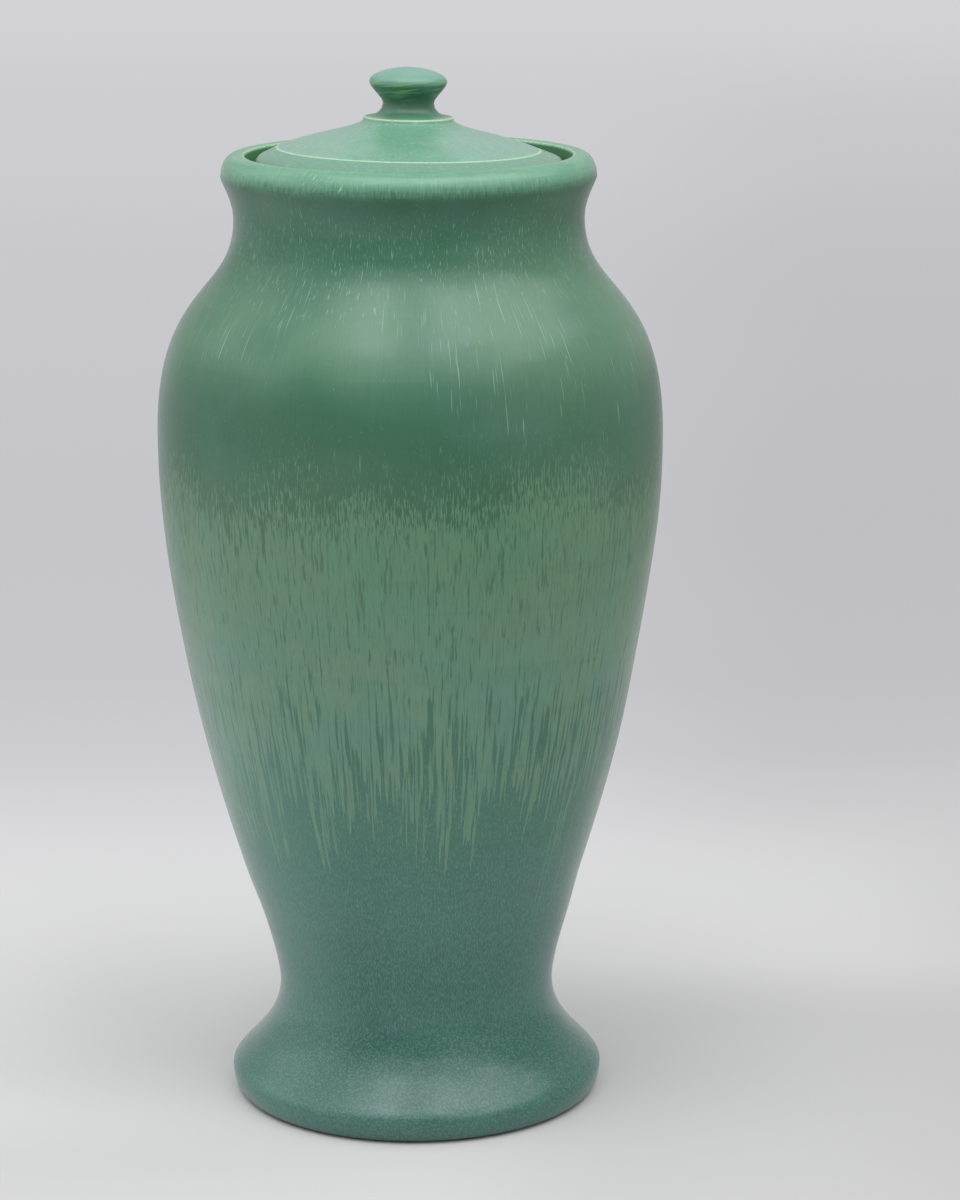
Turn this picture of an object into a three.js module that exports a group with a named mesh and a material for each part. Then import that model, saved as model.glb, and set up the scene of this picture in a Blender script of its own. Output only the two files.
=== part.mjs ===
// A lidded urn in glazed stoneware: a thrown vessel on a flared foot, and a lid with a knob.
// Both are turned round one upright axis, so each is one outline, revolved.
// The mouth is the skilled part. Behind its rolled rim a step, the gallery, is turned into the
// wall; the lid's flange sits on that step, and a ring under the lid drops into the throat.
// Millimetres, +Z up, origin at the middle of the face that the foot stands on.
import * as THREE from 'three';

// Body: radii of the outside, from the table up
const footRestRadius = 54.7;
const footRadius = 59.6;
const waistRadius = 43.9;
const bellyRadius = 79;
const neckRadius = 54.3;
const rimOverhang = 3.8;

// Body: heights of the bands between those radii, from the table up
const footEdgeHeight = 7.7;
const footToWaist = 27.8;
const waistToBelly = 179.3;
const bellyToNeck = 67.6;
const neckToRim = 12.6;
const rimRollHeight = 7.2;

// Body: wall, floor and foot ring
const wall = 5.5;
const floorThickness = 8;
const floorRounding = 6;
const footRingWidth = 9;
const footRecessDepth = 6;
const footRingRounding = 1.2;

// Mouth: rolled rim, gallery and throat
const rimWidth = 7.4;
const rimCrestInset = 1.6;
const lipDrop = 0.9;
const galleryTaper = 0.9;
const galleryDepth = 9;
const galleryRounding = 1;
const ledgeWidth = 8.2;
const ledgeThickness = 5;
const ledgeRounding = 1.2;

// Lid: how it fits the mouth
const seatClearance = 0.3;
const flangeClearance = 2.4;
const throatClearance = 1.6;

// Lid: flange, bevelled shoulder, dome and locating ring
const flangeThickness = 5.6;
const bevelWidth = 6.8;
const bevelRise = 5;
const domeRise = 8.2;
const domeWall = 5;
const ringDepth = 8;
const ringWall = 4.2;
const lidRounding = 0.9;

// Knob: collar, waist and cap
const collarRadius = 13.4;
const collarOverhang = 0.7;
const collarLift = 0.8;
const collarThickness = 0.8;
const knobWaistRadius = 7.85;
const knobWaistRise = 4.3;
const knobCapRadius = 12;
const knobCapRise = 6.4;
const knobCrownRise = 4.4;

// The flank is where the long wall from waist to belly is straightest: how far out and how far
// up it lies, and its lean, as shares of that wall's spread, rise and mean lean.
const flankOutShare = 0.732;
const flankUpShare = 0.557;
const flankLeanShare = 0.957;

// Handles of the curves, as shares of each curve's own rise or run: leaving, then arriving
const footEdgeShares = [0.7, 0.6];
const footShares = [0.129, 0.558];
const lowerFlankShares = [0.159, 0.484];
const upperFlankShares = [0.578, 0.23];
const shoulderShares = [0.705, 0.365];
const neckShares = [0.45, 0.1];
const rimShares = [0.72, 0.4];
const ledgeCoveShares = [0.7, 0.4];
const lidHollowShares = [0.3, 0.55];
const collarCoveShares = [0.75, 0.45];
const knobCapShares = [0.246, 0.286];
const knobCrownShares = [0.66, 0.36];

// The dome's handles are shares of its run and of its rise
const domeLeavingShares = [0.4, 0.52];
const domeArrivingShares = [0.24, 0.34];

// Facets: how far a straight facet may stray from its curve, and the facets round the axis
const facetSag = 0.15;
const facetsAround = 52;

// Levels and radii that follow from those sizes
const waistHeight = footEdgeHeight + footToWaist;
const bellyHeight = waistHeight + waistToBelly;
const neckHeight = bellyHeight + bellyToNeck;
const rimHeight = neckHeight + neckToRim;
const mouthHeight = rimHeight + rimRollHeight;
const rimRadius = neckRadius + rimOverhang;
const lipRadius = rimRadius - rimWidth;
const lipHeight = mouthHeight - lipDrop;
const galleryRadius = lipRadius - galleryTaper;
const ledgeHeight = lipHeight - galleryDepth;
const throatRadius = galleryRadius - ledgeWidth;
const throatBottom = ledgeHeight - ledgeThickness;

// A point of an outline: its radius and its height
const at = (radius, height) => new THREE.Vector2(radius, height);

// A curve that leaves and arrives upright, as a thrown wall does at its widest and narrowest.
function uprightSweep(from, to, [leavingShare, arrivingShare]) {
  const rise = to.y - from.y;
  return new THREE.CubicBezierCurve(
    from,
    at(from.x, from.y + leavingShare * rise),
    at(to.x, to.y - arrivingShare * rise),
    to,
  );
}

// A curve like a quarter of an ellipse, which leaves upright and arrives level.
function turnOver(from, to, [leavingShare, arrivingShare]) {
  return new THREE.CubicBezierCurve(
    from,
    at(from.x, from.y + leavingShare * (to.y - from.y)),
    at(to.x - arrivingShare * (to.x - from.x), to.y),
    to,
  );
}

// A corner softened by a rounding, between the points before and after it.
function softCorner(before, corner, after, rounding) {
  const towards = (end) => end.clone().sub(corner).setLength(rounding).add(corner);
  return new THREE.QuadraticBezierCurve(towards(before), corner, towards(after));
}

// The two curves of a wall from waist to belly, which meet smoothly at the flank.
function flankSweeps(waist, belly) {
  const span = belly.clone().sub(waist);
  const flank = at(waist.x + flankOutShare * span.x, waist.y + flankUpShare * span.y);
  const lean = at(flankLeanShare * span.x, span.y);
  const lowerRise = flank.y - waist.y;
  const upperRise = belly.y - flank.y;
  const [waistShare, belowShare] = lowerFlankShares;
  const [aboveShare, bellyShare] = upperFlankShares;
  return [
    new THREE.CubicBezierCurve(
      waist,
      at(waist.x, waist.y + waistShare * lowerRise),
      flank.clone().addScaledVector(lean, -belowShare * flankUpShare),
      flank,
    ),
    new THREE.CubicBezierCurve(
      flank,
      flank.clone().addScaledVector(lean, aboveShare * (1 - flankUpShare)),
      at(belly.x, belly.y - bellyShare * upperRise),
      belly,
    ),
  ];
}

// The same curve travelled the other way, as an outline does inside a wall.
function reversed({ v0, v1, v2, v3 }) {
  return new THREE.CubicBezierCurve(v3, v2, v1, v0);
}

// How many facets keep a curve within the sag: its length and its turning say.
function facetsOf(curve) {
  const samples = 32;
  let turning = 0;
  for (let i = 0; i < samples; i++) {
    const tangent = curve.getTangent(i / samples);
    turning += Math.abs(tangent.angleTo(curve.getTangent((i + 1) / samples)));
  }
  return Math.ceil(Math.sqrt((curve.getLength() * turning) / (8 * facetSag)));
}

// Joins points and curves into the points of one outline.
function outline(...runs) {
  const points = [];
  for (const run of runs) {
    const next = run.isVector2 ? [run] : run.getPoints(facetsOf(run));
    const repeats = points.length > 0 && points.at(-1).equals(next[0]);
    points.push(...(repeats ? next.slice(1) : next));
  }
  return points;
}

// Revolves an outline that starts and ends on the axis into a closed solid, standing on +Z.
function turned(name, points, material) {
  const geometry = new THREE.LatheGeometry(points, facetsAround);
  geometry.rotateX(Math.PI / 2);
  const mesh = new THREE.Mesh(geometry, material);
  mesh.name = name;
  return mesh;
}

// Under the foot, a shallow recess leaves the ring that the urn stands on.
const recessMiddle = at(0, footRecessDepth);
const ringInner = at(footRestRadius - footRingWidth, 0);
const recessCorner = at(ringInner.x, footRecessDepth);

// Outside: rounded foot, drawn-in waist, full belly, neck and rolled rim
const footRest = at(footRestRadius, 0);
const footEdge = at(footRadius, footEdgeHeight);
const waist = at(waistRadius, waistHeight);
const belly = at(bellyRadius, bellyHeight);
const neck = at(neckRadius, neckHeight);
const rim = at(rimRadius, rimHeight);
const rimCrest = at(lipRadius + rimCrestInset, mouthHeight);
const rimCorner = at(lipRadius, mouthHeight);

// Mouth: the lip, the gallery's wall and ledge, and the throat below them
const lip = at(lipRadius, lipHeight);
const ledgeOuter = at(galleryRadius, ledgeHeight);
const ledgeInner = at(throatRadius, ledgeHeight);
const throatLow = at(throatRadius, throatBottom);
const ledgeUnder = at(throatRadius + ledgeRounding, throatBottom);

// Inside, the wall follows the outside one. Up the steep shoulder it is drawn half a wall
// lower, so that the clay is as thick there as elsewhere.
const innerNeck = at(neckRadius - wall, neckHeight - wall);
const innerBelly = at(bellyRadius - wall, bellyHeight - wall / 2);
const innerWaist = at(waistRadius - wall, waistHeight);
const floorMiddle = at(0, footRecessDepth + floorThickness);
const floorCorner = at(innerWaist.x + wall / 2, floorMiddle.y);

const [lowerFlank, upperFlank] = flankSweeps(waist, belly);
const [innerLowerFlank, innerUpperFlank] = flankSweeps(innerWaist, innerBelly);

const bodyOutline = outline(
  recessMiddle,
  softCorner(recessMiddle, recessCorner, ringInner, footRingRounding),
  softCorner(recessCorner, ringInner, footRest, footRingRounding),
  reversed(turnOver(footEdge, footRest, footEdgeShares)),
  uprightSweep(footEdge, waist, footShares),
  lowerFlank,
  upperFlank,
  uprightSweep(belly, neck, shoulderShares),
  uprightSweep(neck, rim, neckShares),
  turnOver(rim, rimCrest, rimShares),
  softCorner(rimCrest, rimCorner, lip, lipDrop),
  softCorner(lip, ledgeOuter, ledgeInner, galleryRounding),
  softCorner(ledgeOuter, ledgeInner, throatLow, ledgeRounding),
  softCorner(ledgeInner, throatLow, ledgeUnder, ledgeRounding),
  reversed(turnOver(innerNeck, ledgeUnder, ledgeCoveShares)),
  reversed(uprightSweep(innerBelly, innerNeck, shoulderShares)),
  reversed(innerUpperFlank),
  reversed(innerLowerFlank),
  softCorner(innerWaist, floorCorner, floorMiddle, floorRounding),
  floorMiddle,
);

// Lid: a flange with a bevelled shoulder sits on the ledge, and a ring hangs in the throat.
const flangeRadius = galleryRadius - flangeClearance;
const flangeBottom = ledgeHeight + seatClearance;
const flangeLow = at(flangeRadius, flangeBottom);
const flangeHigh = at(flangeRadius, flangeBottom + flangeThickness);
const shoulder = at(flangeRadius - bevelWidth, flangeHigh.y + bevelRise);
const ringRadius = throatRadius - throatClearance;
const ringTop = at(ringRadius, flangeBottom);
const ringOuter = at(ringRadius, flangeBottom - ringDepth);
const ringInside = at(ringRadius - ringWall, ringOuter.y);

// Knob: it grows from the dome through a thin collar with a crisp edge.
const domeTop = at(collarRadius - collarOverhang, shoulder.y + domeRise);
const collarLow = at(collarRadius, domeTop.y + collarLift);
const collarHigh = at(collarRadius, collarLow.y + collarThickness);
const knobWaist = at(knobWaistRadius, collarHigh.y + knobWaistRise);
const knobCap = at(knobCapRadius, knobWaist.y + knobCapRise);
const knobCrown = at(0, knobCap.y + knobCrownRise);

// Inside the lid, the hollow follows the dome at the thickness of its wall.
const hollowTop = at(0, domeTop.y - domeWall);
const hollowShoulder = at(ringInside.x, shoulder.y - domeWall);

// The dome leaves its shoulder at a low slope and steepens under the collar.
const domeRun = shoulder.x - domeTop.x;
const domeSweep = new THREE.CubicBezierCurve(
  shoulder,
  at(shoulder.x - domeLeavingShares[0] * domeRun, shoulder.y + domeLeavingShares[1] * domeRise),
  at(domeTop.x + domeArrivingShares[0] * domeRun, domeTop.y - domeArrivingShares[1] * domeRise),
  domeTop,
);

const lidOutline = outline(
  hollowTop,
  reversed(turnOver(hollowShoulder, hollowTop, lidHollowShares)),
  softCorner(hollowShoulder, ringInside, ringOuter, lidRounding),
  softCorner(ringInside, ringOuter, ringTop, lidRounding),
  ringTop,
  softCorner(ringTop, flangeLow, flangeHigh, lidRounding),
  softCorner(flangeLow, flangeHigh, shoulder, lidRounding),
  domeSweep,
  collarLow,
  reversed(turnOver(knobWaist, collarHigh, collarCoveShares)),
  uprightSweep(knobWaist, knobCap, knobCapShares),
  turnOver(knobCap, knobCrown, knobCrownShares),
);

// Glazes: greens that darken to blue-green on the body, and a paler green on the lid
const bodyGlaze = new THREE.MeshStandardMaterial({ color: 0x5f9a80, roughness: 0.42 });
const lidGlaze = new THREE.MeshStandardMaterial({ color: 0x7cb096, roughness: 0.42 });

const urn = new THREE.Group();
urn.add(turned('urn_body', bodyOutline, bodyGlaze));
urn.add(turned('lid', lidOutline, lidGlaze));

export default urn;
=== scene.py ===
import math

import bmesh
import bpy
from mathutils import Matrix, Vector
from mathutils.geometry import interpolate_bezier


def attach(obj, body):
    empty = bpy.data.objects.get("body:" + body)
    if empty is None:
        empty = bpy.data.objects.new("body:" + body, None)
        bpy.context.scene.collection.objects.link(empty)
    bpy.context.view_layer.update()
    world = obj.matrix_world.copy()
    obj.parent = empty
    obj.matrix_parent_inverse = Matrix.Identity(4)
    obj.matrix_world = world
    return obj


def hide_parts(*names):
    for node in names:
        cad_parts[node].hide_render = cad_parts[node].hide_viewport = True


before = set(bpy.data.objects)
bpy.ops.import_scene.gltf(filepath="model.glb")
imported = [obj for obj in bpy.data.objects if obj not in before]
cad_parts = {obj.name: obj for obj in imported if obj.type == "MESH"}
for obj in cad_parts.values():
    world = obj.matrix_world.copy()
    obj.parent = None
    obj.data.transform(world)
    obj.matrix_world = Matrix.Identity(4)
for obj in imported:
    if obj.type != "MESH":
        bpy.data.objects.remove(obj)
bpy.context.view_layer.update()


# The camera stands a little above the urn's mouth and looks slightly down through a long lens,
# so that the foot shows from above and the lid almost from the side.
camera_place = (0.02163, -1.12430, 0.41924)
camera_looks_down = 12.962
camera_leans = -0.137
camera = bpy.data.objects.new("camera", bpy.data.cameras.new("camera"))
camera.data.sensor_width = 36
camera.data.lens = 109.28
camera.matrix_world = (
    Matrix.Translation(camera_place)
    @ Matrix.Rotation(math.radians(90 - camera_looks_down), 4, "X")
    @ Matrix.Rotation(math.radians(camera_leans), 4, "Z")
)
bpy.context.collection.objects.link(camera)
bpy.context.scene.camera = camera
bpy.context.scene.view_settings.view_transform = "Standard"


# The light: two soft boxes hang side by side over the front of the urn, under a wide dim one.
# One more hangs at each side, a weak one stands lower on the left and one at the front right,
# and the pale room gives the rest.
def soft_box(name, place, looks_at, width, height, watts):
    box = bpy.data.objects.new(name, bpy.data.lights.new(name, "AREA"))
    box.data.shape = "RECTANGLE"
    box.data.size = width
    box.data.size_y = height
    box.data.energy = watts
    box.location = place
    box.rotation_euler = (Vector(looks_at) - Vector(place)).to_track_quat("-Z", "Y").to_euler()
    bpy.context.collection.objects.link(box)


soft_box("overhead_left", (-0.36, -0.60, 1.61), (-0.36, 0.24, 0.38), 0.48, 0.95, 3.7)
soft_box("overhead_right", (0.35, -0.60, 1.61), (0.35, 0.24, 0.38), 0.38, 0.95, 2.8)
soft_box("overhead_wide", (0.15, -1.25, 2.35), (0, 0, 0.20), 4.00, 2.60, 33.0)
soft_box("left_box", (-1.55, 0.05, 1.65), (0, 0, 0.10), 2.40, 1.80, 8.6)
soft_box("left_low_box", (-1.90, -0.10, 0.55), (0, 0, 0.05), 2.80, 0.90, 1.8)
soft_box("right_box", (1.35, -0.10, 1.95), (0, 0, 0.10), 1.80, 1.40, 12.0)
soft_box("front_right_box", (1.30, -1.30, 0.95), (0, 0, 0.18), 1.60, 1.60, 2.4)


# The room: pale walls all round, whose even grey lights the urn from every side. The camera
# sees them in the shade of the paper's far end, so that no edge shows between the two.
room_light = (0.53, 0.53, 0.53, 1)


def new_node(tree, kind, **settings):
    made = tree.nodes.new("ShaderNode" + kind)
    for setting, value in settings.items():
        setattr(made, setting, value)
    return made


# Sets a node's sockets: each takes a value, or another node's output.
def plug(made, sockets):
    for socket, value in sockets.items():
        if isinstance(value, bpy.types.NodeSocket):
            made.id_data.links.new(value, made.inputs[socket])
        else:
            made.inputs[socket].default_value = value


# A node that works on the outputs of others joins the material that they belong to.
def node(kind, sockets, **settings):
    outputs = [value for value in sockets.values() if isinstance(value, bpy.types.NodeSocket)]
    made = new_node(outputs[0].id_data, kind, **settings)
    plug(made, sockets)
    return made


def blend(share, under, over):
    return node("Mix", {0: share, 6: under, 7: over}, data_type="RGBA").outputs[2]


# A colour as it is read off a screen, from 0 to 255, made linear for a shader.
def paint(red, green, blue):
    def linear(level):
        share = level / 255
        return share / 12.92 if share <= 0.04045 else ((share + 0.055) / 1.055) ** 2.4
    return (linear(red), linear(green), linear(blue), 1)


far_shade = paint(210, 210, 212)
room = bpy.data.worlds.new("pale_room")
room.use_nodes = True
room_seen = new_node(room.node_tree, "LightPath").outputs["Is Camera Ray"]
room_colour = blend(room_seen, room_light, far_shade)
plug(room.node_tree.nodes["Background"], {"Color": room_colour})
bpy.context.scene.world = room


# The floor: a wide sweep of pale paper, which holds the urn's shadow. Further off the camera
# sees only a painted glow in the paper's shade, as evenly as a lit studio sweep.
floor_radius = 14.0
shade_end = 6.0
camera_distance = 1.12


# A finished shape becomes an object of the scene.
def set_down(name, shape):
    mesh = bpy.data.meshes.new(name)
    shape.to_mesh(mesh)
    shape.free()
    made = bpy.data.objects.new(name, mesh)
    bpy.context.collection.objects.link(made)
    return made


def calculate(operation, first, second=0.0):
    return node("Math", {0: first, 1: second}, operation=operation).outputs[0]


def plus(first, second):
    return calculate("ADD", first, second)


def times(first, second):
    return calculate("MULTIPLY", first, second)


def larger(first, second):
    return calculate("MAXIMUM", first, second)


def without_sign(value):
    return calculate("ABSOLUTE", value)


# How far a value has gone from one level to another, from 0 to 1, easing in and out.
def between(value, start, end, to=1.0):
    levels = {"Value": value, "From Min": start, "From Max": end, "To Min": 0.0, "To Max": to}
    return node("MapRange", levels, interpolation_type="SMOOTHSTEP").outputs[0]


def length_of(place):
    return node("VectorMath", {0: place}, operation="LENGTH").outputs["Value"]


# Cloudy variation: a noise pattern in the given coordinates.
def cloud(place, scale, detail=2.0, roughness=0.5):
    sockets = {"Vector": place, "Scale": scale, "Detail": detail, "Roughness": roughness}
    return node("TexNoise", sockets).outputs[0]


# Fine relief from a pattern. The depth is in metres.
def relief(pattern, strength, depth):
    return node("Bump", {"Height": pattern, "Strength": strength, "Distance": depth}).outputs[0]


# Colours along a distance, up to the distance's end. The stops are in metres.
def colours_along(distance, end, stops):
    ramp = node("ValToRGB", {0: calculate("DIVIDE", distance, end)})
    ramp.color_ramp.interpolation = "EASE"
    while len(ramp.color_ramp.elements) < len(stops):
        ramp.color_ramp.elements.new(0.5)
    for element, (level, colour) in zip(ramp.color_ramp.elements, stops):
        element.position = level / end
        element.color = colour
    return ramp.outputs[0]


sheet = bmesh.new()
bmesh.ops.create_circle(sheet, cap_ends=True, segments=96, radius=floor_radius)
floor = set_down("floor", sheet)

paper = bpy.data.materials.new("pale_paper")
paper.use_nodes = True
paper_place = new_node(paper.node_tree, "TexCoord").outputs["Object"]
paper_axes = node("SeparateXYZ", {0: paper_place}).outputs
paper_back = paper_axes["Y"]
paper_grain = cloud(paper_place, 900.0)

# Painted light and shade on the paper: it is darker towards the front, paler just left of the
# foot and far to the left, and darker to the right as painted shadow, most just right of the
# foot. Each tone has where it begins and where it is full, sideways and then backwards, and its
# grey.
all_in_view = (-9.0, -8.0)
paper_tone_and_shade = colours_along(paper_back, shade_end, [
    (0.00, paint(203, 203, 203)),
    (0.03, paint(205, 205, 205)),
    (0.13, paint(211, 211, 211)),
    (0.30, paint(214, 214, 214)),
])
for sideways, backwards, grey in (
    ((0.02, -0.07), (-0.08, -0.02), 214),
    ((-0.16, -0.45), all_in_view, 238),
    ((0.00, 0.07), (0.13, 0.05), 195),
    ((0.10, 0.35), all_in_view, 168),
):
    painted_light_share = times(between(paper_axes["X"], *sideways), between(paper_back, *backwards))
    paper_tone_and_shade = blend(painted_light_share, paper_tone_and_shade, paint(grey, grey, grey))
paper_shader = paper.node_tree.nodes["Principled BSDF"]
plug(paper_shader, {
    "Base Color": blend(times(paper_grain, 0.08), paper_tone_and_shade, paint(180, 180, 180)),
    "Roughness": 0.8,
    "Specular IOR Level": 0.1,
    "Normal": relief(paper_grain, 0.05, 0.0002),
})

# Further off the paper's shade is painted on as a glow, with painted shade a little darker to
# the right. How far aside a place lies is reckoned as the camera sees it, by its distance from
# the camera.
paper_shade = colours_along(paper_back, shade_end, [
    (0.25, paint(216, 216, 219)),
    (0.33, paint(212, 212, 215)),
    (0.42, paint(204, 204, 208)),
    (0.55, paint(199, 199, 203)),
    (0.90, paint(197, 197, 202)),
    (1.60, paint(199, 199, 204)),
    (2.90, paint(205, 205, 209)),
    (5.20, paint(210, 210, 212)),
])
from_camera = larger(plus(paper_back, camera_distance), 0.05)
paper_aside = calculate("DIVIDE", paper_axes["X"], from_camera)
painted_shade_right = times(between(paper_aside, 0.02, 0.11, to=0.24), between(paper_back, 5.0, 2.0))
paper_shade = blend(painted_shade_right, paper_shade, paint(172, 172, 168))
painted_shade_right = between(paper_aside, 0.15, 0.30, to=0.5)
paper_shade = blend(painted_shade_right, paper_shade, paint(120, 120, 118))

# In front of the urn and far to its sides the camera sees the far shade, so that the sweep is
# even from all round. Behind the urn, what reflects or lets light through sees the shade too.
seen = new_node(paper.node_tree, "LightPath").outputs
beside = larger(between(paper_back, 0.30, 0.05), between(without_sign(paper_aside), 0.175, 0.26))
beside_seen = times(seen["Is Camera Ray"], between(length_of(paper_place), 0.22, 0.45))
beside = times(beside, beside_seen)
paper_shade = blend(beside, paper_shade, far_shade)
paper_glow = node("Emission", {"Color": paper_shade, "Strength": 1.0}).outputs[0]
seen_rays = larger(seen["Is Camera Ray"], seen["Is Glossy Ray"])
seen_rays = larger(seen_rays, seen["Is Transmission Ray"])
glow_share = larger(times(seen_rays, between(paper_back, 0.14, 0.36)), beside)
paper_surface = node("MixShader", {0: glow_share, 1: paper_shader.outputs[0], 2: paper_glow})
plug(paper.node_tree.nodes["Material Output"], {"Surface": paper_surface.outputs[0]})
floor.data.materials.append(paper)


# The urn body, thrown on the wheel in one piece: a flared foot, a full belly and a rolled rim.
# Inside the rim a step, the gallery, is turned for the lid. It stands on a bare ring of clay.
foot_rest_radius = 0.0547
foot_radius = 0.0596
waist_radius = 0.0439
belly_radius = 0.079
neck_radius = 0.0543
rim_radius = 0.0581
foot_edge_height = 0.0077
waist_height = 0.0355
belly_height = 0.2148
neck_height = 0.2824
rim_height = 0.295
mouth_height = 0.3022
wall = 0.0055
floor_height = 0.014
recess_height = 0.006
foot_ring_inner = 0.0457
lip_radius = 0.0507
lip_height = 0.3015
gallery_radius = 0.0498
ledge_height = 0.2923
throat_radius = 0.0416
throat_bottom = 0.2873
crest_width = 0.0028
crest_drop = 0.0003
foot_rounding = 0.0012
ledge_rounding = 0.0012
gallery_rounding = 0.001
floor_rounding = 0.006
outer_spacing = 0.0021
inner_spacing = 0.004
same_place = 0.000002
flank_out = 0.732
flank_up = 0.557
flank_lean = 0.957
urn_facets = 288


# A point of an outline: its radius and its height.
def at(radius, height):
    return Vector((radius, 0, height))


# A curve that leaves and arrives upright, as a thrown wall does at its widest and narrowest.
def upright_sweep(start, end, leaving, arriving):
    rise = end.z - start.z
    return [start, start + at(0, leaving * rise), end - at(0, arriving * rise), end]


# A curve like a quarter of an ellipse, which leaves upright and arrives level.
def turn_over(start, end, leaving, arriving):
    across = end - start
    return [start, start + at(0, leaving * across.z), end - at(arriving * across.x, 0), end]


# A corner softened by a rounding, between the points before and after it.
def soft_corner(before, corner, after, rounding):
    start = corner + (before - corner).normalized() * rounding
    end = corner + (after - corner).normalized() * rounding
    return [start, start.lerp(corner, 2 / 3), end.lerp(corner, 2 / 3), end]


# The two curves of a wall from waist to belly. They meet where the flank is straightest: so
# far out and so far up of the way, with that lean.
def flank_sweeps(waist, belly):
    span = belly - waist
    flank = waist + at(flank_out * span.x, flank_up * span.z)
    lean = at(flank_lean * span.x, span.z)
    leaving = waist + at(0, 0.159 * (flank.z - waist.z))
    arriving = belly - at(0, 0.23 * (belly.z - flank.z))
    lower = [waist, leaving, flank - lean * 0.484 * flank_up, flank]
    upper = [flank, flank + lean * 0.578 * (1 - flank_up), arriving, belly]
    return lower, upper


# Draws curves as one line of points. Each point keeps how far along the outline it lies, for
# the glaze's map, and whether it is on the outer skin.
def draw_outline(clay, curves, outer):
    along = clay.verts.layers.float.get("along") or clay.verts.layers.float.new("along")
    skin = clay.verts.layers.float.get("skin") or clay.verts.layers.float.new("skin")
    clay.verts.ensure_lookup_table()
    last = clay.verts[-1] if clay.verts else None
    spacing = outer_spacing if outer else inner_spacing
    map_share = 1.0 if outer else 0.35
    for curve in curves:
        length = sum((b - a).length for a, b in zip(curve, curve[1:]))
        steps = max(6, math.ceil(length / spacing))
        places = interpolate_bezier(*curve, steps) if len(curve) == 4 else curve
        for place in places:
            gap = (place - last.co).length if last else 1.0
            if gap < same_place / 2:
                continue
            point = clay.verts.new(place)
            point[skin] = 1.0 if outer else 0.0
            point[along] = last[along] + gap * map_share if last else 0.0
            if last:
                clay.edges.new((last, point))
            last = point


# Spins an outline round the upright axis into a closed, smooth piece of pottery, and unrolls
# its skin into a map with the seam at the back.
def turn(clay, facets):
    bmesh.ops.spin(
        clay,
        geom=clay.verts[:] + clay.edges[:],
        cent=(0, 0, 0),
        axis=(0, 0, 1),
        angle=2 * math.pi,
        steps=facets,
        use_merge=True,
    )
    bmesh.ops.remove_doubles(clay, verts=clay.verts[:], dist=same_place)
    bmesh.ops.recalc_face_normals(clay, faces=clay.faces[:])
    along = clay.verts.layers.float["along"]
    longest = max(point[along] for point in clay.verts)
    unrolled = clay.loops.layers.uv.new("OFBake")
    for face in clay.faces:
        face.smooth = True
        middle = face.calc_center_median()
        facing = math.atan2(middle.x, -middle.y)
        for corner in face.loops:
            point = corner.vert
            turned = facing
            if point.co.xy.length > 1e-5:
                turned = math.atan2(point.co.x, -point.co.y)
                turned += 2 * math.pi * round((facing - turned) / (2 * math.pi))
            corner[unrolled].uv = (0.5 + turned / (2 * math.pi), point[along] / longest)


# How far a height has gone from one to another, from 0 to 1, easing in and out.
def ease(value, start, end):
    share = min(1, max(0, (value - start) / (end - start)))
    return share * share * (3 - 2 * share)


foot_rest = at(foot_rest_radius, 0)
foot_edge = at(foot_radius, foot_edge_height)
waist = at(waist_radius, waist_height)
belly = at(belly_radius, belly_height)
neck = at(neck_radius, neck_height)
rim = at(rim_radius, rim_height)
rim_crest = at(lip_radius + crest_width, mouth_height - crest_drop)
lip = at(lip_radius, lip_height)
ledge_outer = at(gallery_radius, ledge_height)
ledge_inner = at(throat_radius, ledge_height)
throat_low = at(throat_radius, throat_bottom)
ledge_under = at(throat_radius + ledge_rounding, throat_bottom)
recess_middle = at(0, recess_height)
recess_corner = at(foot_ring_inner, recess_height)
ring_inner = at(foot_ring_inner, 0)
inner_neck = at(neck_radius - wall, neck_height - wall)
inner_belly = at(belly_radius - wall, belly_height - wall / 2)
inner_waist = at(waist_radius - wall, waist_height)
floor_middle = at(0, floor_height)
floor_corner = at(inner_waist.x + wall / 2, floor_height)
lower_flank, upper_flank = flank_sweeps(waist, belly)
inner_lower_flank, inner_upper_flank = flank_sweeps(inner_waist, inner_belly)

urn_clay = bmesh.new()
draw_outline(urn_clay, [
    [recess_middle],
    soft_corner(recess_middle, recess_corner, ring_inner, foot_rounding),
    soft_corner(recess_corner, ring_inner, foot_rest, foot_rounding),
    [foot_rest],
], outer=False)
draw_outline(urn_clay, [
    turn_over(foot_edge, foot_rest, 0.7, 0.6)[::-1],
    upright_sweep(foot_edge, waist, 0.129, 0.558),
    lower_flank,
    upper_flank,
    upright_sweep(belly, neck, 0.705, 0.365),
    upright_sweep(neck, rim, 0.45, 0.1),
    turn_over(rim, rim_crest, 0.72, 0.4),
    turn_over(lip, rim_crest, 0.35, 0.55)[::-1],
], outer=True)
draw_outline(urn_clay, [
    soft_corner(lip, ledge_outer, ledge_inner, gallery_rounding),
    soft_corner(ledge_outer, ledge_inner, throat_low, ledge_rounding),
    soft_corner(ledge_inner, throat_low, ledge_under, ledge_rounding),
    turn_over(inner_neck, ledge_under, 0.7, 0.4)[::-1],
    upright_sweep(inner_belly, inner_neck, 0.705, 0.365)[::-1],
    inner_upper_flank[::-1],
    inner_lower_flank[::-1],
    soft_corner(inner_waist, floor_corner, floor_middle, floor_rounding),
    [floor_middle],
], outer=False)
turn(urn_clay, urn_facets)

# Thrown by hand, the foot came out a hair to one side of the rest, and the flank to the other.
# The rim leans forward by a third of a millimetre.
rim_lean = 0.006
foot_aside = 0.0007
flank_aside = 0.00025
flank_middle = 0.155
for point in urn_clay.verts:
    near_rim = ease(point.co.z, 0.2975, 0.3000)
    near_foot = ease(point.co.z, 0.076, 0.058)
    near_flank = ease(abs(point.co.z - flank_middle), 0.040, 0.010)
    point.co.z += rim_lean * point.co.y * near_rim
    point.co.x += foot_aside * near_foot - flank_aside * near_flank

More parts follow.
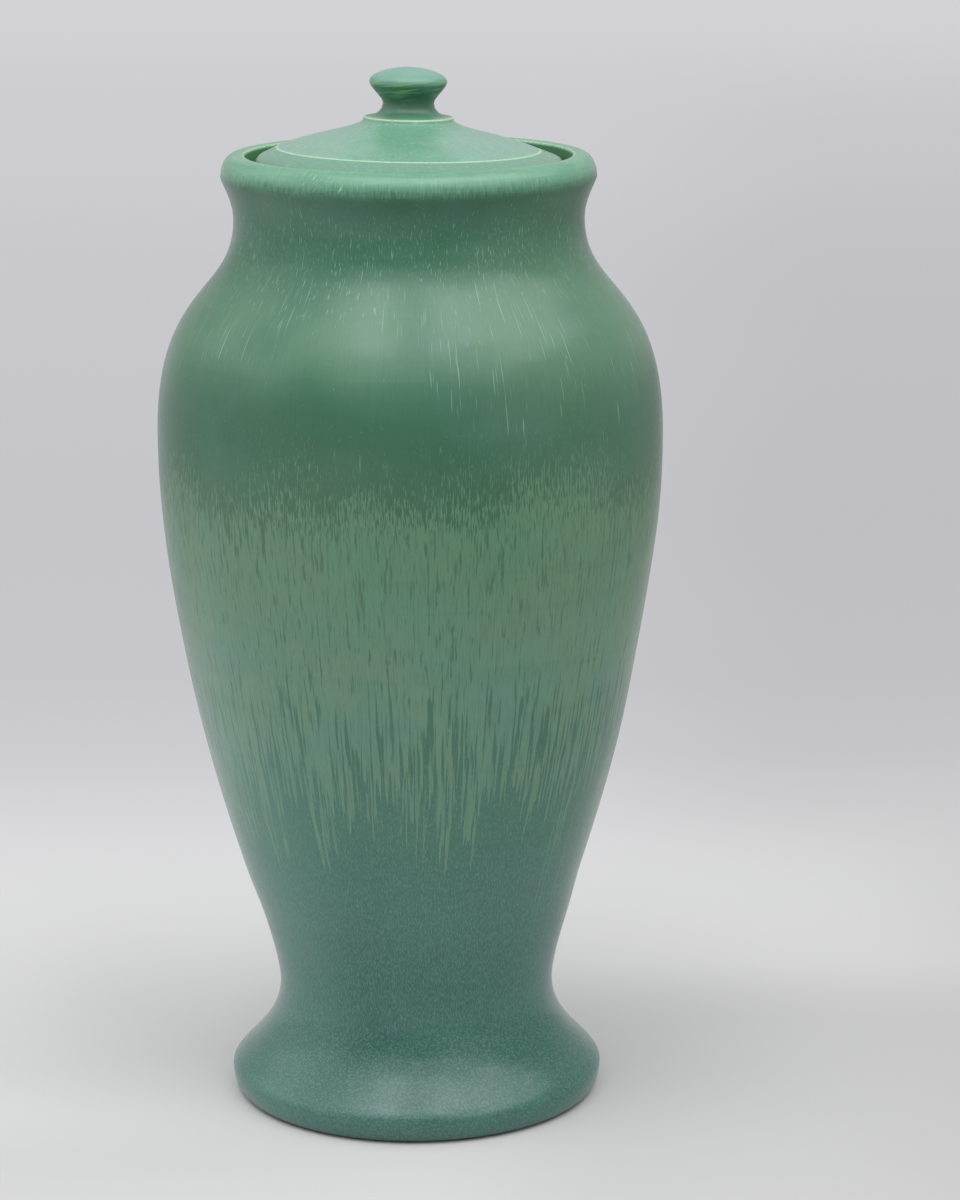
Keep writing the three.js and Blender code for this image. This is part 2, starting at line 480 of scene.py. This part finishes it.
urn_glazed = set_down("urn_glazed", urn_clay)
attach(urn_glazed, "body")
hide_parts("urn_body")

# The body's glaze: a deep green that turns to blue-green at the foot, and over it a sage glaze
# that ran down the belly in streaks and ended in drips. The patterns follow the wall: they are
# made in coordinates of direction round the pot and height, so streaks close up at the waist.
# Colours and levels that go by height are given up to a height just above the urn.
ramp_top = 0.330


def join_axes(x, y, z):
    return node("CombineXYZ", {"X": x, "Y": y, "Z": z}).outputs[0]


# A new glaze, with what its patterns follow: the place and its axes, the distance from the
# pot's middle, the direction round the pot, and whether it is on the outer skin.
def start_glaze(name):
    glaze = bpy.data.materials.new(name)
    glaze.use_nodes = True
    place = new_node(glaze.node_tree, "TexCoord").outputs["Object"]
    axes = node("SeparateXYZ", {0: place}).outputs
    level = join_axes(axes["X"], axes["Y"], 0.0)
    facing = node("VectorMath", {0: level}, operation="NORMALIZE").outputs[0]
    facing_axes = node("SeparateXYZ", {0: facing}).outputs
    skin = new_node(glaze.node_tree, "Attribute", attribute_name="skin").outputs["Fac"]
    return glaze, place, axes, length_of(level), facing_axes, skin


# Streaks that run down a pot: cloud cells so many to a radian round it and to a metre down it.
def streaks(place, around, down, detail=2.0, roughness=0.5):
    cells = (around, around, down)
    stretched = node("VectorMath", {0: place, 1: cells}, operation="MULTIPLY").outputs[0]
    return cloud(stretched, 1.0, detail, roughness)


# A level by height: the stops are heights in metres and levels from 0 to 1.
def level_by_height(height, top, stops):
    curve = node("FloatCurve", {"Value": calculate("DIVIDE", height, top)})
    line = curve.mapping.curves[0]
    line.points[0].location = (0, stops[0][1])
    line.points[1].location = (1, stops[-1][1])
    for level, value in stops:
        line.points.new(level / top, value)
    curve.mapping.update()
    return curve.outputs[0]


def minus(first, second):
    return calculate("SUBTRACT", first, second)


def mix_levels(share, under, over):
    return node("Mix", {0: share, 2: under, 3: over}).outputs[0]


urn_glaze, urn_place, urn_axes, urn_radius, facing, skin = start_glaze("urn_glaze")
height = urn_axes["Z"]
unrolled_place = join_axes(facing["X"], facing["Y"], height)
wander = streaks(unrolled_place, 2.2, 14.0, 1.0)
wander_height = plus(height, times(minus(wander, 0.5), 0.02))
# The stops by height carry painted light and shade too: the lowest is paler as painted light
# from the floor on the foot's edge, the two above it are painted shade on the flare, and the
# highest is painted shade under the rim.
ground = colours_along(wander_height, ramp_top, [
    (0.004, paint(62, 104, 97)),
    (0.012, paint(46, 93, 86)),
    (0.025, paint(42, 90, 83)),
    (0.040, paint(52, 102, 95)),
    (0.080, paint(67, 113, 103)),
    (0.105, paint(70, 115, 100)),
    (0.135, paint(66, 110, 92)),
    (0.175, paint(72, 111, 86)),
    (0.205, paint(55, 99, 72)),
    (0.230, paint(52, 100, 76)),
    (0.250, paint(76, 121, 95)),
    (0.260, paint(74, 120, 93)),
    (0.275, paint(53, 105, 80)),
    (0.288, paint(51, 103, 78)),
    (0.294, paint(41, 94, 68)),
])
ground_tint = streaks(unrolled_place, 2.6, 40.0, 3.0)
tint_share = times(between(ground_tint, 0.45, 0.65, to=0.45), between(height, 0.195, 0.215))
ground = blend(tint_share, ground, paint(60, 108, 90))

# The sage glaze: small ticks at its upper edge, dashes below them, then long runs side by side,
# which stop at their own heights, lower on the left, with a few drips far below the others.
ticks = streaks(unrolled_place, 185.0, 310.0, 2.0)
dashes = streaks(unrolled_place, 95.0, 135.0, 2.0)
runs = streaks(unrolled_place, 66.0, 52.0, 2.0)
drips = streaks(unrolled_place, 13.0, 5.0, 2.0)
run_ends = streaks(unrolled_place, 34.0, 8.0, 1.0)
patches = streaks(unrolled_place, 4.0, 16.0, 2.0)
low_share = between(height, 0.168, 0.132)
sage_pattern = mix_levels(between(height, 0.190, 0.205), dashes, ticks)
sage_pattern = mix_levels(low_share, sage_pattern, runs)
low_shift = plus(times(minus(drips, 0.5), 0.075), times(minus(run_ends, 0.5), 0.030))
low_shift = minus(low_shift, times(facing["X"], 0.007))
sideways_shift = between(without_sign(facing["X"]), 0.40, 0.90, to=0.006)
high_shift = plus(times(minus(patches, 0.5), 0.035), sideways_shift)
edge_shift = mix_levels(low_share, high_shift, low_shift)
edge_height = plus(height, edge_shift)
sage_level = level_by_height(edge_height, ramp_top, [
    (0.084, 0.10), (0.096, 0.28), (0.101, 0.42), (0.105, 0.480), (0.118, 0.510), (0.132, 0.545),
    (0.148, 0.585), (0.165, 0.615), (0.190, 0.600), (0.202, 0.54), (0.213, 0.41), (0.224, 0.29),
    (0.236, 0.20),
])
sage_amount = minus(sage_level, sage_pattern)
softness = between(height, 0.150, 0.200, to=0.045)
softness = plus(softness, 0.04)
sage_share = between(sage_amount, times(softness, -1.0), softness)
sage_hue = cloud(urn_place, 55.0, 2.0)
sage_low = blend(between(sage_hue, 0.35, 0.65), paint(94, 135, 116), paint(99, 136, 112))
sage_high = blend(between(sage_hue, 0.35, 0.65), paint(85, 129, 101), paint(89, 128, 98))
sage_colour = blend(between(height, 0.14, 0.20), sage_low, sage_high)
glazed = blend(sage_share, ground, sage_colour)

# Fine pale speckle: dense in the blue-green, and scattered flecks on the neck.
on_foot = between(height, 0.040, 0.024)
wall_speckle = streaks(unrolled_place, 185.0, 760.0, 1.0)
foot_speckle = cloud(urn_place, 1500.0, 1.0)
speckle = mix_levels(on_foot, wall_speckle, foot_speckle)
speckle_limit = level_by_height(height, ramp_top, [
    (0.010, 0.44), (0.070, 0.44), (0.110, 0.52), (0.150, 0.62), (0.195, 0.66), (0.222, 0.62),
    (0.245, 0.72), (0.262, 0.64), (0.275, 0.56), (0.290, 0.62), (0.300, 0.70),
])
speckle_share = between(minus(speckle, speckle_limit), 0.0, 0.20, to=0.30)
speckle_share = times(speckle_share, minus(1.0, times(on_foot, 0.25)))
glazed = blend(speckle_share, glazed, paint(118, 158, 140))

# Painted light: the wall is painted paler on its left lower down, and on its right higher up.
painted_light_low_left = times(between(facing["X"], -0.20, -0.85, to=0.13), between(height, 0.165, 0.115))
glazed = blend(painted_light_low_left, glazed, paint(140, 190, 180))
painted_light_high_right = times(between(facing["X"], 0.20, 0.70, to=0.07), between(height, 0.125, 0.165))
glazed = blend(painted_light_high_right, glazed, paint(160, 180, 150))

# Small flecks round the neck, and thin pale threads down the shoulder, some close together.
flecks = streaks(unrolled_place, 165.0, 330.0, 1.0)
fleck_limit = level_by_height(wander_height, ramp_top, [
    (0.200, 0.80), (0.240, 0.76), (0.255, 0.72), (0.264, 0.67), (0.280, 0.65), (0.290, 0.70),
    (0.297, 0.80),
])
fleck_share = between(minus(flecks, fleck_limit), 0.0, 0.07, to=0.5)
glazed = blend(fleck_share, glazed, paint(138, 182, 150))
threads = streaks(unrolled_place, 150.0, 80.0, 1.0)
thread_limit = level_by_height(height, ramp_top, [
    (0.190, 0.84), (0.215, 0.78), (0.235, 0.73), (0.262, 0.70), (0.275, 0.77), (0.290, 0.84),
])
gathered = minus(cloud(urn_place, 28.0, 1.0), 0.45)
thread_amount = plus(minus(threads, thread_limit), times(gathered, 0.35))
thread_share = between(thread_amount, 0.0, 0.09, to=0.42)
glazed = blend(thread_share, glazed, paint(142, 184, 156))

# A faint grain runs down the whole wall, over rings that the thrower's fingers left.
grain = streaks(unrolled_place, 170.0, 110.0, 3.0, 0.7)
grain_strength = minus(plus(times(sage_share, 0.45), 0.55), times(on_foot, 0.40))
grain_share = times(between(grain, 0.45, 0.75, to=0.34), grain_strength)
glazed = blend(grain_share, glazed, paint(40, 78, 60))

# A few thin trails of sage ran on from the drips towards the waist. Rings darken it all a hair.
trails = streaks(unrolled_place, 60.0, 7.0, 1.0)
trail_band = times(between(height, 0.050, 0.075), between(height, 0.120, 0.100))
trail_share = times(between(trails, 0.70, 0.76, to=0.5), trail_band)
glazed = blend(trail_share, glazed, paint(104, 148, 118))
rings = streaks(unrolled_place, 0.8, 260.0, 2.0)
ring_share = between(rings, 0.50, 0.80, to=0.10)
glazed = blend(ring_share, glazed, paint(44, 84, 66))

# The rolled rim is paler, and its glaze is mottled by the brush.
rim_brush = streaks(unrolled_place, 5.0, 900.0, 4.0, 0.6)
rim_ticks = streaks(unrolled_place, 120.0, 330.0, 2.0)
rim_colour = blend(between(rim_brush, 0.30, 0.70), paint(98, 150, 123), paint(110, 161, 134))
rim_colour = blend(between(rim_ticks, 0.60, 0.80, to=0.30), rim_colour, paint(150, 192, 160))
rim_colour = blend(between(rim_ticks, 0.42, 0.26, to=0.25), rim_colour, paint(66, 116, 84))
rim_edge = plus(height, times(minus(rim_ticks, rim_brush), 0.004))
rim_share = between(rim_edge, 0.2932, 0.2990)
glazed = blend(rim_share, glazed, rim_colour)

# A few slanting scratches on the rim.
scratch_place = join_axes(minus(facing["X"], times(height, 9.0)), facing["Y"], height)
scratches = between(streaks(scratch_place, 95.0, 60.0, 2.0), 0.62, 0.70)
scratched = between(cloud(urn_place, 45.0, 1.0), 0.60, 0.68, to=0.8)
scratches = times(times(scratches, scratched), between(height, 0.2950, 0.2970))
glazed = blend(scratches, glazed, paint(170, 196, 152))


# Where a glaze draws thin over an edge: the share of it, within a width of the edge's circle.
def thin_over(section, edge, width):
    away = node("VectorMath", {0: section, 1: edge}, operation="DISTANCE").outputs["Value"]
    return between(away, width, width * 0.3)


# Over the lip it breaks to a pale yellow-green, more in some places than in others.
level_height = minus(height, times(urn_axes["Y"], rim_lean))
urn_section = join_axes(urn_radius, 0.0, level_height)
worn_lip = at(lip_radius + 0.0002, lip_height + 0.0001)
lip_thin = thin_over(urn_section, worn_lip, 0.0007)
lip_wear = between(rim_ticks, 0.30, 0.60)
glazed = blend(times(lip_thin, lip_wear), glazed, paint(158, 200, 158))

# Painted shadow: along the edge that it stands on, the glaze is painted dark, as the shade where
# the foot meets the floor.
glazed = blend(between(height, 0.0013, 0.0004, to=0.8), glazed, paint(28, 40, 38))



# The bare clay, mottled by its grain.
def bare_clay(grain):
    return blend(grain, paint(176, 150, 118), paint(204, 182, 150))


# Inside, a plain green; where the urn stands and where the lid seats, the clay is wiped bare.
glazed = blend(between(skin, 0.90, 0.99), paint(20, 94, 46), glazed)
under_foot = between(height, 0.00025, 0.0001)
off_ledge = without_sign(minus(height, ledge_height))
seat = times(between(skin, 0.5, 0.4), between(off_ledge, 0.0009, 0.0004))
bare = larger(under_foot, seat)
urn_colour = blend(bare, glazed, bare_clay(cloud(urn_place, 1600.0, 3.0)))


# A pattern spread between two levels, as for a roughness that varies with a fine mottle.
def spread(pattern, low, high):
    return node("MapRange", {"Value": pattern, "To Min": low, "To Max": high}).outputs[0]


def finish(piece, glaze, sockets):
    plug(glaze.node_tree.nodes["Principled BSDF"], sockets)
    piece.data.materials.append(glaze)


urn_mottle = cloud(urn_place, 700.0, 3.0)
urn_roughness = spread(urn_mottle, 0.18, 0.28)
urn_roughness = minus(urn_roughness, between(height, 0.060, 0.020, to=0.05))
urn_roughness = plus(urn_roughness, between(skin, 0.99, 0.90, to=0.25))
urn_relief = plus(times(sage_share, 0.5), urn_mottle)
urn_relief = plus(urn_relief, times(grain, 1.6))
urn_relief = plus(urn_relief, times(rings, 2.5))
finish(urn_glazed, urn_glaze, {
    "Base Color": urn_colour,
    "Roughness": mix_levels(bare, urn_roughness, 0.85),
    "Normal": relief(urn_relief, 0.25, 0.0001),
})


# The lid, turned and fired as one piece with its knob. Its flange sits on the gallery, a ring
# under it drops into the throat and keeps it central, and a thin collar parts dome and knob.
flange_radius = 0.0476
flange_bottom = 0.2926
flange_top = 0.3002
shoulder_radius = 0.0406
shoulder_height = 0.3032
dome_top_height = 0.3109
ring_radius = 0.0400
ring_bottom = 0.2846
ring_inner_radius = 0.0358
hollow_height = 0.3064
collar_radius = 0.0137
collar_low_height = 0.3117
collar_high_height = 0.3131
knob_waist_radius = 0.00785
knob_waist_height = 0.3173
knob_cap_radius = 0.0120
knob_cap_height = 0.3237
knob_crown_height = 0.3281
hollow_drop = 0.005
dome_foot_width = 0.0016
collar_flare = 0.0004
lid_rounding = 0.0009
flange_bevel = 0.0022
shoulder_rounding = 0.0004
dome_foot_rounding = 0.0006
collar_foot_rounding = 0.00035
collar_rounding = 0.00045
lid_facets = 240

hollow_top = at(0, hollow_height)
hollow_shoulder = at(ring_inner_radius, shoulder_height - hollow_drop)
ring_inside = at(ring_inner_radius, ring_bottom)
ring_outer = at(ring_radius, ring_bottom)
ring_top = at(ring_radius, flange_bottom)
flange_low = at(flange_radius, flange_bottom)
flange_high = at(flange_radius, flange_top)
shoulder = at(shoulder_radius, shoulder_height)
dome_top = at(collar_radius + dome_foot_width, dome_top_height)
collar_low = at(collar_radius + collar_flare, collar_low_height)
collar_high = at(collar_radius, collar_high_height)
knob_waist = at(knob_waist_radius, knob_waist_height)
knob_cap = at(knob_cap_radius, knob_cap_height)
knob_crown = at(0, knob_crown_height)
dome_run = shoulder.x - dome_top.x
dome_rise = dome_top.z - shoulder.z
dome_leaves = shoulder + at(-0.4 * dome_run, 0.52 * dome_rise)
dome_arrives = dome_top + at(0.24 * dome_run, -0.34 * dome_rise)
dome_edge = soft_corner(flange_high, shoulder, dome_leaves, shoulder_rounding)
dome_foot = soft_corner(dome_arrives, dome_top, collar_low, dome_foot_rounding)
cove = turn_over(knob_waist, collar_high, 0.75, 0.45)[::-1]
collar_lip = soft_corner(collar_low, collar_high, cove[1], collar_rounding)

lid_clay = bmesh.new()
draw_outline(lid_clay, [
    turn_over(hollow_shoulder, hollow_top, 0.3, 0.55)[::-1],
    soft_corner(hollow_shoulder, ring_inside, ring_outer, lid_rounding),
    soft_corner(ring_inside, ring_outer, ring_top, lid_rounding),
    [ring_top],
    soft_corner(ring_top, flange_low, flange_high, lid_rounding),
], outer=False)
draw_outline(lid_clay, [
    soft_corner(flange_low, flange_high, shoulder, flange_bevel),
    dome_edge,
    [dome_edge[3], dome_leaves, dome_arrives, dome_foot[0]],
    dome_foot,
    soft_corner(dome_top, collar_low, collar_high, collar_foot_rounding),
    collar_lip,
    [collar_lip[3], cove[1], cove[2], cove[3]],
    upright_sweep(knob_waist, knob_cap, 0.246, 0.286),
    turn_over(knob_cap, knob_crown, 0.66, 0.36),
], outer=True)
turn(lid_clay, lid_facets)

# The dome dried a little higher on its left than on its right.
dome_lean = 0.019
lid_outside = lid_clay.verts.layers.float["skin"]
for point in lid_clay.verts:
    share = ease(point.co.z, 0.2985, 0.3030) * point[lid_outside]
    point.co.z -= dome_lean * point.co.x * share

lid_glazed = set_down("lid_glazed", lid_clay)
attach(lid_glazed, "lid")
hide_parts("lid")

# The lid's glaze is a paler coat of the same green. Its heights follow the dome's lean.
lid_ramp_top = 0.340
lid_glaze, lid_place, lid_axes, lid_radius, lid_facing, lid_skin = start_glaze("lid_glaze")
lid_height = plus(lid_axes["Z"], times(lid_axes["X"], dome_lean))
dome_place = join_axes(lid_facing["X"], lid_facing["Y"], lid_radius)

# The dome's sides are painted paler and bluer as a painted reflection, which leaves it darker
# across its middle; over that go fine strokes and specks.
lid_clouds = cloud(lid_place, 70.0, 3.0)
reflection_edge = plus(lid_axes["X"], times(minus(lid_clouds, 0.5), 0.03))
painted_reflection_share = between(without_sign(reflection_edge), 0.004, 0.018)
lid_colour = blend(painted_reflection_share, paint(104, 154, 130), paint(127, 165, 149))
lid_colour = blend(between(lid_height, 0.3032, 0.3028), lid_colour, paint(111, 152, 132))
strokes = streaks(dome_place, 38.0, 160.0, 3.0, 0.7)
lid_colour = blend(between(strokes, 0.42, 0.72, to=0.30), lid_colour, paint(86, 140, 114))
specks = cloud(lid_place, 850.0, 2.0)
lid_colour = blend(between(specks, 0.58, 0.74, to=0.35), lid_colour, paint(164, 202, 176))
lid_colour = blend(between(specks, 0.40, 0.26, to=0.30), lid_colour, paint(70, 120, 92))

# Under the knob's cap the glaze is painted dark as painted shade, with the lines of the turning
# tool. The cap's top is paler and bluer, partly its glaze and partly a painted highlight.
knob_colour_and_shade = colours_along(lid_height, lid_ramp_top, [
    (0.3132, paint(84, 126, 104)),
    (0.3148, paint(72, 114, 91)),
    (0.3172, paint(61, 105, 81)),
    (0.3210, paint(54, 104, 76)),
    (0.3232, paint(64, 118, 86)),
    (0.3243, paint(108, 152, 131)),
    (0.3262, paint(120, 160, 147)),
])
slanted_height = minus(lid_height, times(lid_axes["X"], 0.13))
slanted_place = join_axes(lid_facing["X"], lid_facing["Y"], slanted_height)
tool_lines = streaks(slanted_place, 1.3, 1400.0, 2.0)
under_cap = times(between(lid_height, 0.3170, 0.3225), between(lid_height, 0.3252, 0.3236))
line_share = times(under_cap, between(tool_lines, 0.51, 0.62, to=0.85))
knob_colour_and_shade = blend(line_share, knob_colour_and_shade, paint(118, 166, 112))
scored = times(between(lid_height, 0.3252, 0.3238), between(tool_lines, 0.46, 0.30, to=0.35))
knob_colour_and_shade = blend(scored, knob_colour_and_shade, paint(40, 82, 60))
brushed = cloud(lid_place, 160.0, 3.0)
knob_colour_and_shade = blend(between(brushed, 0.40, 0.65, to=0.25), knob_colour_and_shade, paint(84, 150, 132))
lid_colour = blend(between(lid_height, 0.3131, 0.3135), lid_colour, knob_colour_and_shade)

# A few specks of iron burnt through.
iron = cloud(lid_place, 150.0, 1.0)
lid_colour = blend(between(iron, 0.795, 0.83, to=0.7), lid_colour, paint(98, 100, 74))
lid_section = join_axes(lid_radius, 0.0, lid_height)
edge_wear = streaks(dome_place, 30.0, 900.0, 3.0, 0.7)
for edge, width, colour in (
    (shoulder, 0.0005, paint(166, 206, 172)),
    (collar_high, 0.0007, paint(174, 202, 160)),
):
    thin = times(thin_over(lid_section, edge, width), between(edge_wear, 0.22, 0.50))
    lid_colour = blend(thin, lid_colour, colour)

# Under the lid, a dark green; round the ring and where the flange seats, the clay is bare.
lid_colour = blend(lid_skin, paint(34, 78, 52), lid_colour)
lid_grain = cloud(lid_place, 1600.0, 3.0)
lid_bare = times(between(lid_radius, 0.0392, 0.0398), between(lid_height, 0.2936, 0.2930))
lid_relief = plus(times(strokes, 0.8), times(tool_lines, 1.2))
finish(lid_glazed, lid_glaze, {
    "Base Color": blend(lid_bare, lid_colour, bare_clay(lid_grain)),
    "Roughness": spread(lid_grain, 0.24, 0.36),
    "Normal": relief(plus(lid_grain, lid_relief), 0.2, 0.0001),
})
